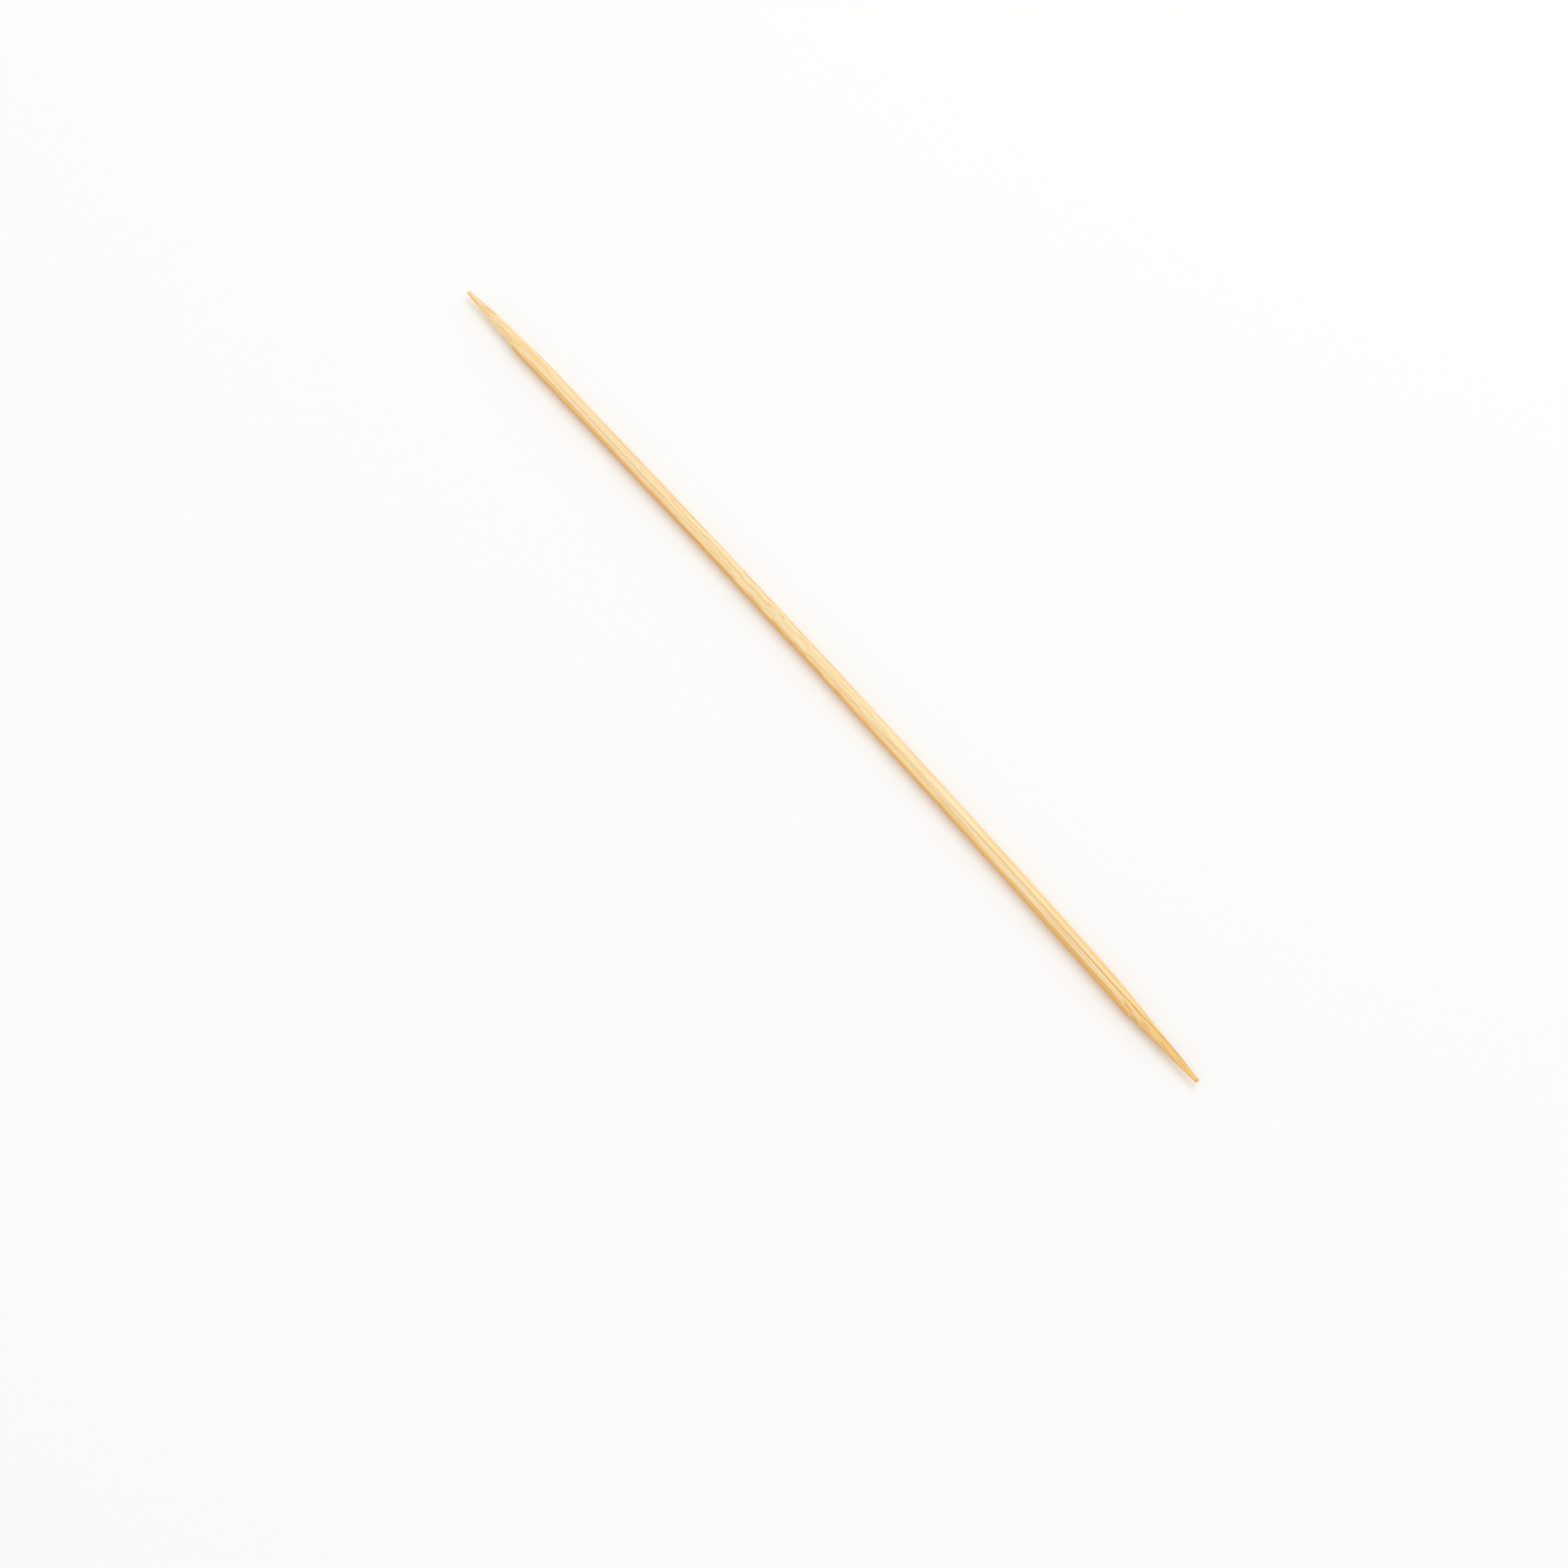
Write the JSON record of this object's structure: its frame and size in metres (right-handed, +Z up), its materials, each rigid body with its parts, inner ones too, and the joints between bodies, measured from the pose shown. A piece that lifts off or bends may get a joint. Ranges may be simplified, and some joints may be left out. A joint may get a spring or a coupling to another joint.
{
  "type": "bamboo stick",
  "caption": "Slim round bamboo stick, ground to a point at both ends and slightly bowed, used to skewer and hold food over heat or for serving.",
  "frame": {"origin": "middle of the footprint, on the surface that the stick lies on", "axes": "+X along the stick, from the twice ground point to the point ground once; +Y towards the side that the middle bows to; +Z up"},
  "size_m": [0.3, 0.0052, 0.0038],
  "materials": {
    "bamboo": "bare bamboo, drawn round and sanded, with fine lengthwise fibres and a soft satin surface"
  },
  "bodies": {
    "root": {"stick": "bamboo"}
  },
  "joints": []
}
